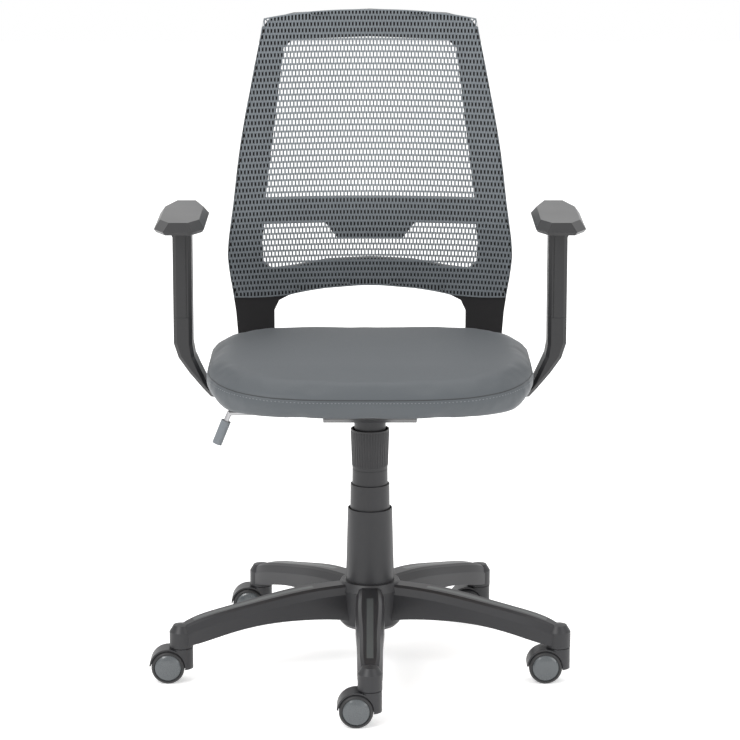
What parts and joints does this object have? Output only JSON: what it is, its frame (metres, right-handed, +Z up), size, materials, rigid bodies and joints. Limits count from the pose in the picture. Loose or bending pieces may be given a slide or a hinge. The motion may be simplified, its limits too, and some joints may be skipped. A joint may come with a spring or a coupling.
{
  "type": "office task chair",
  "caption": "Swivel task chair with a mesh back, padded seat, height-adjustable T armrests, telescopic gas column and star base on twin-wheel casters.",
  "frame": {"origin": "on the floor, on the swivel axis", "axes": "+Z up along the column, -Y the way the sitter faces, +X to the right seen from the front"},
  "size_m": [0.6514, 0.6491, 0.977],
  "materials": {
    "nylon": "moulded, fine grain",
    "inlay": "satin",
    "steel": "brushed",
    "grip": "smooth",
    "plywood": "raw",
    "leatherette": "soft sheen, fine grain",
    "arm_plastic": "satin",
    "pad": "soft touch",
    "frame_plastic": "satin",
    "mesh": "open woven mesh",
    "tread": "matte",
    "hub_cap": "glossy"
  },
  "bodies": {
    "base": {"base": "nylon", "base_inlays": "inlay", "column_tube": "steel", "guide_bush": "nylon", "cover_lower": "nylon", "caster_stem_1": "steel", "caster_stem_2": "steel", "caster_stem_3": "steel", "caster_stem_4": "steel", "caster_stem_5": "steel"},
    "spindle": {"piston_rod": "steel", "thrust_bearing": "steel"},
    "cover_slider": {"cover_middle": "nylon"},
    "carrier": {"gas_cylinder": "steel", "cover_upper": "nylon", "mechanism_housing": "nylon", "pivot_pin": "steel", "tilt_spring": "steel"},
    "valve": {"valve_button": "steel"},
    "seat": {"seat_plate": "steel", "seat_board": "plywood", "seat_cushion": "leatherette", "seat_bolts": "steel", "arm_bolts": "steel", "back_bolts": "steel", "arm_bracket_left": "arm_plastic", "arm_bracket_right": "arm_plastic", "back_frame": "frame_plastic", "back_mesh": "mesh", "lumbar_support": "frame_plastic"},
    "lever_slider": {"lever_bush": "nylon"},
    "lever": {"lever_rod": "steel", "lever_grip": "grip"},
    "arm_left": {"arm_sleeve_left": "arm_plastic", "arm_pad_left": "pad"},
    "arm_release_left": {"arm_button_left": "arm_plastic"},
    "arm_right": {"arm_sleeve_right": "arm_plastic", "arm_pad_right": "pad"},
    "arm_release_right": {"arm_button_right": "arm_plastic"},
    "caster_1": {"caster_housing_1": "nylon", "caster_axle_1": "steel"},
    "wheels_1": {"caster_wheels_1": "tread", "caster_caps_1": "hub_cap"},
    "caster_2": {"caster_housing_2": "nylon", "caster_axle_2": "steel"},
    "wheels_2": {"caster_wheels_2": "tread", "caster_caps_2": "hub_cap"},
    "caster_3": {"caster_housing_3": "nylon", "caster_axle_3": "steel"},
    "wheels_3": {"caster_wheels_3": "tread", "caster_caps_3": "hub_cap"},
    "caster_4": {"caster_housing_4": "nylon", "caster_axle_4": "steel"},
    "wheels_4": {"caster_wheels_4": "tread", "caster_caps_4": "hub_cap"},
    "caster_5": {"caster_housing_5": "nylon", "caster_axle_5": "steel"},
    "wheels_5": {"caster_wheels_5": "tread", "caster_caps_5": "hub_cap"}
  },
  "joints": [
    {"name": "seat_swivel", "type": "hinge", "parent": "base", "child": "spindle", "pos_m": [0, 0, 0.1], "axis": [0, 0, 1], "continuous": true},
    {"name": "seat_lift", "type": "slide", "parent": "spindle", "child": "carrier", "axis": [0, 0, 1], "range_m": [-0.09, 0], "stiffness_N_per_m": 200, "springref_m": 1.8},
    {"name": "cover_follow", "type": "slide", "parent": "base", "child": "cover_slider", "axis": [0, 0, 1], "range_m": [-0.045, 0]},
    {"name": "valve_press", "type": "slide", "parent": "carrier", "child": "valve", "axis": [0, 0, -1], "range_m": [0, 0.003], "stiffness_N_per_m": 3000, "springref_m": -0.002},
    {"name": "seat_tilt", "type": "hinge", "parent": "carrier", "child": "seat", "pos_m": [0, -0.065, 0.417], "axis": [-1, 0, 0], "range_deg": [0, 12], "stiffness_Nm_per_rad": 110, "springref_deg": -20.05},
    {"name": "lever_pull", "type": "slide", "parent": "carrier", "child": "lever_slider", "axis": [-1, 0, 0], "range_m": [0, 0.012]},
    {"name": "lever_lift", "type": "hinge", "parent": "lever_slider", "child": "lever", "pos_m": [-0.056, -0.04, 0.408], "axis": [0, 1, 0], "range_deg": [0, 7], "stiffness_Nm_per_rad": 4, "springref_deg": -2.86},
    {"name": "arm_height_left", "type": "slide", "parent": "seat", "child": "arm_left", "axis": [0, 0, 1], "range_m": [0, 0.06]},
    {"name": "arm_release_left", "type": "slide", "parent": "arm_left", "child": "arm_release_left", "axis": [1, 0, 0], "range_m": [0, 0.003], "stiffness_N_per_m": 800, "springref_m": -0.001},
    {"name": "arm_height_right", "type": "slide", "parent": "seat", "child": "arm_right", "axis": [0, 0, 1], "range_m": [0, 0.06]},
    {"name": "arm_release_right", "type": "slide", "parent": "arm_right", "child": "arm_release_right", "axis": [-1, 0, 0], "range_m": [0, 0.003], "stiffness_N_per_m": 800, "springref_m": -0.001},
    {"name": "caster_swivel_1", "type": "hinge", "parent": "base", "child": "caster_1", "pos_m": [0, -0.3, 0.05], "axis": [0, 0, 1], "continuous": true},
    {"name": "wheel_spin_1", "type": "hinge", "parent": "caster_1", "child": "wheels_1", "pos_m": [-0.02, -0.3, 0.025], "axis": [0, 1, 0], "continuous": true},
    {"name": "caster_swivel_2", "type": "hinge", "parent": "base", "child": "caster_2", "pos_m": [0.28532, -0.0927, 0.05], "axis": [0, 0, 1], "continuous": true},
    {"name": "wheel_spin_2", "type": "hinge", "parent": "caster_2", "child": "wheels_2", "pos_m": [0.26532, -0.0927, 0.025], "axis": [0, 1, 0], "continuous": true},
    {"name": "caster_swivel_3", "type": "hinge", "parent": "base", "child": "caster_3", "pos_m": [0.17634, 0.24271, 0.05], "axis": [0, 0, 1], "continuous": true},
    {"name": "wheel_spin_3", "type": "hinge", "parent": "caster_3", "child": "wheels_3", "pos_m": [0.15634, 0.24271, 0.025], "axis": [0, 1, 0], "continuous": true},
    {"name": "caster_swivel_4", "type": "hinge", "parent": "base", "child": "caster_4", "pos_m": [-0.17634, 0.24271, 0.05], "axis": [0, 0, 1], "continuous": true},
    {"name": "wheel_spin_4", "type": "hinge", "parent": "caster_4", "child": "wheels_4", "pos_m": [-0.19634, 0.24271, 0.025], "axis": [0, 1, 0], "continuous": true},
    {"name": "caster_swivel_5", "type": "hinge", "parent": "base", "child": "caster_5", "pos_m": [-0.28532, -0.0927, 0.05], "axis": [0, 0, 1], "continuous": true},
    {"name": "wheel_spin_5", "type": "hinge", "parent": "caster_5", "child": "wheels_5", "pos_m": [-0.30532, -0.0927, 0.025], "axis": [0, 1, 0], "continuous": true}
  ],
  "couplings": [
    {"joint": "cover_follow", "follows": "seat_lift", "ratio": 0.5}
  ]
}
